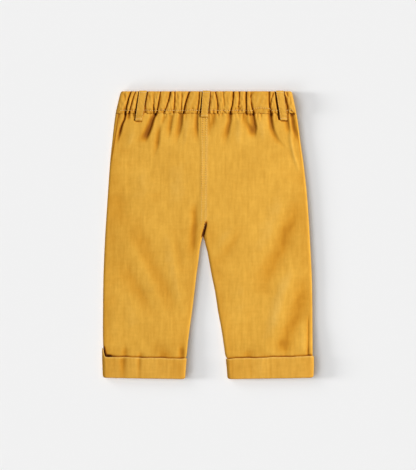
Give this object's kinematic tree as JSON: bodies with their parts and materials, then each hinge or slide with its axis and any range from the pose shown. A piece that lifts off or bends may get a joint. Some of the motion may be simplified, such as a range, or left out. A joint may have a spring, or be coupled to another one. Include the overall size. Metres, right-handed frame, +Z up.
{
  "type": "linen trousers",
  "caption": "Baby's mustard linen trousers laid flat, back up, with a gathered elastic waistband, belt loops, a felled seat seam and turned-up hems.",
  "frame": {"origin": "middle of the laid trousers' outline, on the surface they lie on", "axes": "+Y from the hems to the waist, +Z up off the surface and out of the back of the trousers, +X to the wearer's right"},
  "size_m": [0.2648, 0.36, 0.0116],
  "materials": {
    "leg_linen": "plain-woven mustard linen, matt, softly creased",
    "waistband_linen": "the same linen gathered over elastic",
    "belt_loop_linen": "the same linen folded to a narrow strip",
    "turn_up_linen": "the same linen, turned up at the hem"
  },
  "bodies": {
    "root": {"back_panel_left": "leg_linen", "back_panel_right": "leg_linen", "front_panel_left": "leg_linen", "front_panel_right": "leg_linen", "waistband_back": "waistband_linen", "waistband_front": "waistband_linen", "belt_loop_left": "belt_loop_linen", "belt_loop_centre": "belt_loop_linen", "belt_loop_right": "belt_loop_linen", "turn_up_back_left": "turn_up_linen", "turn_up_back_right": "turn_up_linen", "turn_up_front_left": "turn_up_linen", "turn_up_front_right": "turn_up_linen"}
  },
  "joints": []
}
